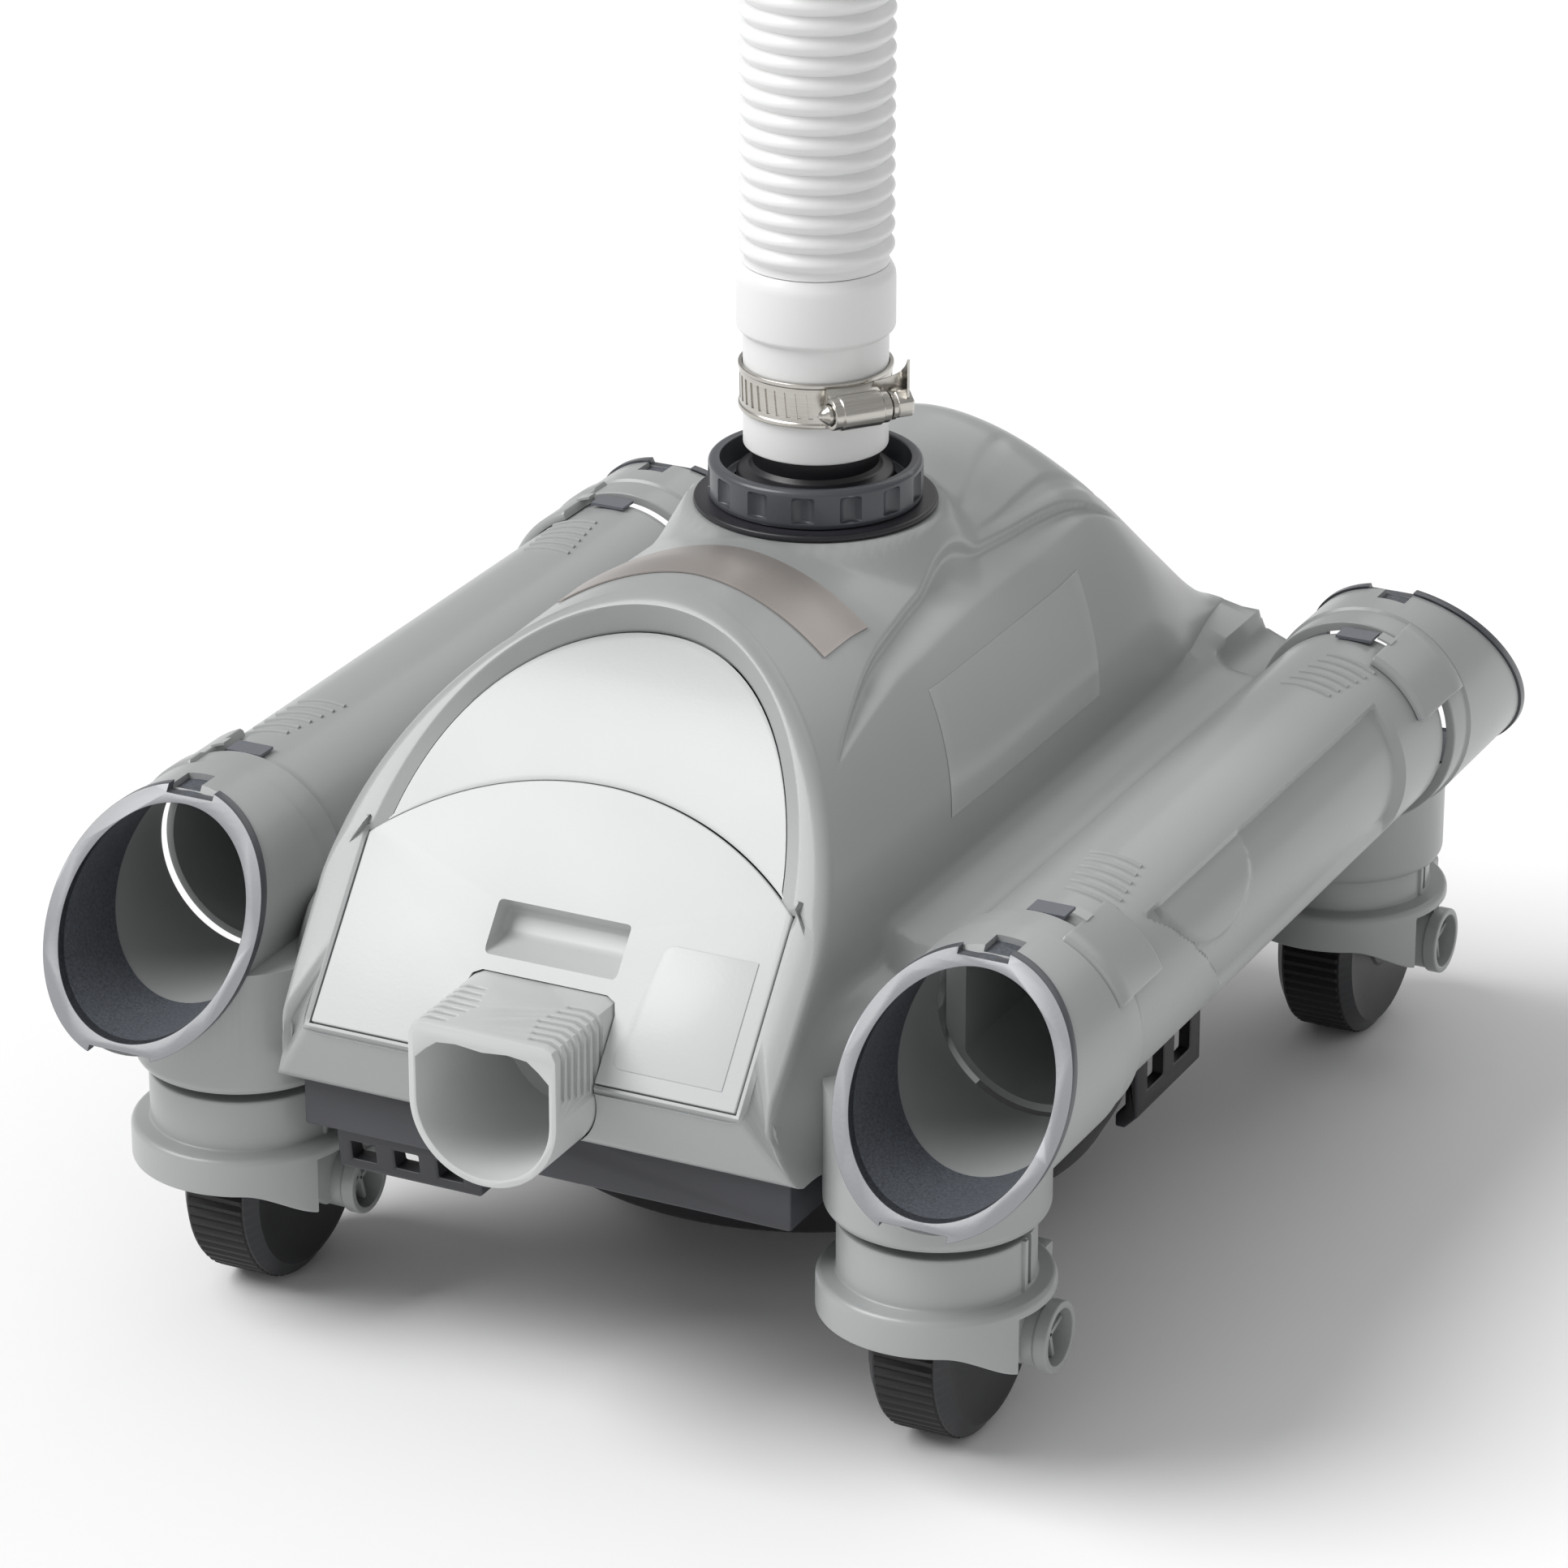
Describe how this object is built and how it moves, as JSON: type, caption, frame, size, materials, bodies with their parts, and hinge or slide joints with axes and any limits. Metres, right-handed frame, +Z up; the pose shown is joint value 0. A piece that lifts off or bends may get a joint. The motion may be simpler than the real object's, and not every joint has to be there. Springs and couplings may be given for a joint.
{
  "type": "pool cleaner",
  "caption": "Water-driven pool cleaner: arched body on trailing casters, side jet tubes with mitred mouths, filter lid, and a hose swivel with a clamped corrugated hose.",
  "frame": {"origin": "on the floor under the middle of the object's footprint, hose left out", "axes": "+Z up, -Y towards the front nozzle and filter lid, +X across to the object's right as seen from the front"},
  "size_m": [0.3188, 0.4086, 0.6269],
  "materials": {
    "shell": "satin moulded plastic, light grey",
    "panel": "satin moulded plastic, pale grey",
    "slate": "satin dark slate plastic",
    "black": "black plastic",
    "base": "dark grey plastic",
    "tyre": "ribbed black rubber over dark side discs",
    "steel": "rolled stainless steel",
    "hose": "white plastic",
    "badge": "satin silver film, blank",
    "works": "natural acetal",
    "seal": "soft rubber",
    "ballast": "plain cast"
  },
  "bodies": {
    "body": {"upper_shell": "shell", "side_tube_right": "shell", "side_tube_left": "shell", "elbow_front_right": "shell", "elbow_front_left": "shell", "elbow_rear_right": "shell", "elbow_rear_left": "shell", "caster_socket_front_right": "shell", "caster_socket_front_left": "shell", "caster_socket_rear_right": "shell", "caster_socket_rear_left": "shell", "front_panel": "panel", "front_nozzle": "panel", "badge": "badge", "mouth_liner_front_right": "slate", "mouth_liner_front_left": "slate", "mouth_liner_rear_right": "slate", "mouth_liner_rear_left": "slate", "hose_flange": "black", "suction_skirt": "black", "base_pan": "base", "clip_bracket_right": "base", "clip_bracket_left": "base", "front_bracket": "base", "inlet_manifold": "base", "gear_plate": "base", "jet_block": "base", "jet_nozzle_right": "works", "jet_nozzle_left": "works", "filter_screen": "works", "spigot_seal": "seal", "ballast_weight": "ballast"},
    "caster_front_right": {"caster_yoke_front_right": "shell", "axle_pin_front_right": "shell"},
    "wheel_front_right": {"caster_wheel_front_right": "tyre"},
    "caster_front_left": {"caster_yoke_front_left": "shell", "axle_pin_front_left": "shell"},
    "wheel_front_left": {"caster_wheel_front_left": "tyre"},
    "caster_rear_right": {"caster_yoke_rear_right": "shell", "axle_pin_rear_right": "shell"},
    "wheel_rear_right": {"caster_wheel_rear_right": "tyre"},
    "caster_rear_left": {"caster_yoke_rear_left": "shell", "axle_pin_rear_left": "shell"},
    "wheel_rear_left": {"caster_wheel_rear_left": "tyre"},
    "hose": {"swivel_spigot": "black", "hose_lower_cuff": "hose", "hose_run": "hose", "hose_upper_cuff": "hose", "clamp_band": "steel", "clamp_housing": "steel"},
    "clamp_screw": {"clamp_screw": "steel"},
    "nut": {"collar_nut": "slate"},
    "lid": {"filter_lid": "panel"},
    "turbine": {"turbine_rotor": "works", "turbine_shaft": "steel", "drive_pinion": "works"},
    "idler": {"idler_gear": "works"},
    "diverter": {"diverter_gear": "works", "diverter_disc": "works"}
  },
  "joints": [
    {"name": "caster_swivel_front_right", "type": "hinge", "parent": "body", "child": "caster_front_right", "pos_m": [0.1105, -0.14645, 0.06], "axis": [0, 0, 1], "continuous": true},
    {"name": "wheel_roll_front_right", "type": "hinge", "parent": "caster_front_right", "child": "wheel_front_right", "pos_m": [0.1105, -0.12685, 0.034], "axis": [1, 0, 0], "continuous": true},
    {"name": "caster_swivel_front_left", "type": "hinge", "parent": "body", "child": "caster_front_left", "pos_m": [-0.1105, -0.14645, 0.06], "axis": [0, 0, 1], "continuous": true},
    {"name": "wheel_roll_front_left", "type": "hinge", "parent": "caster_front_left", "child": "wheel_front_left", "pos_m": [-0.1105, -0.12685, 0.034], "axis": [1, 0, 0], "continuous": true},
    {"name": "caster_swivel_rear_right", "type": "hinge", "parent": "body", "child": "caster_rear_right", "pos_m": [0.1105, 0.15075, 0.06], "axis": [0, 0, 1], "continuous": true},
    {"name": "wheel_roll_rear_right", "type": "hinge", "parent": "caster_rear_right", "child": "wheel_rear_right", "pos_m": [0.1105, 0.17035, 0.034], "axis": [1, 0, 0], "continuous": true},
    {"name": "caster_swivel_rear_left", "type": "hinge", "parent": "body", "child": "caster_rear_left", "pos_m": [-0.1105, 0.15075, 0.06], "axis": [0, 0, 1], "continuous": true},
    {"name": "wheel_roll_rear_left", "type": "hinge", "parent": "caster_rear_left", "child": "wheel_rear_left", "pos_m": [-0.1105, 0.17035, 0.034], "axis": [1, 0, 0], "continuous": true},
    {"name": "hose_swivel", "type": "hinge", "parent": "body", "child": "hose", "pos_m": [0, 0.00215, 0.22], "axis": [0, 0, 1], "continuous": true},
    {"name": "clamp_screw_turn", "type": "hinge", "parent": "hose", "child": "clamp_screw", "pos_m": [0.02187, -0.01493, 0.2528], "axis": [0.6157, 0.788, 0], "continuous": true},
    {"name": "nut_turn", "type": "hinge", "parent": "body", "child": "nut", "pos_m": [0, 0.00215, 0.224], "axis": [0, 0, 1], "continuous": true},
    {"name": "lid_hinge", "type": "hinge", "parent": "body", "child": "lid", "pos_m": [0, -0.14707, 0.15303], "axis": [-1, 0, 0], "range_deg": [0, 68]},
    {"name": "turbine_spin", "type": "hinge", "parent": "body", "child": "turbine", "pos_m": [0, 0.00215, 0.16], "axis": [0, 0, 1], "continuous": true},
    {"name": "idler_spin", "type": "hinge", "parent": "body", "child": "idler", "pos_m": [0.0255, 0.00215, 0.15], "axis": [0, 0, 1], "continuous": true},
    {"name": "diverter_spin", "type": "hinge", "parent": "body", "child": "diverter", "pos_m": [0.0525, 0.00215, 0.14], "axis": [0, 0, 1], "continuous": true}
  ],
  "couplings": [
    {"joint": "idler_spin", "follows": "turbine_spin", "ratio": -0.41667},
    {"joint": "diverter_spin", "follows": "turbine_spin", "ratio": 0.16026}
  ]
}
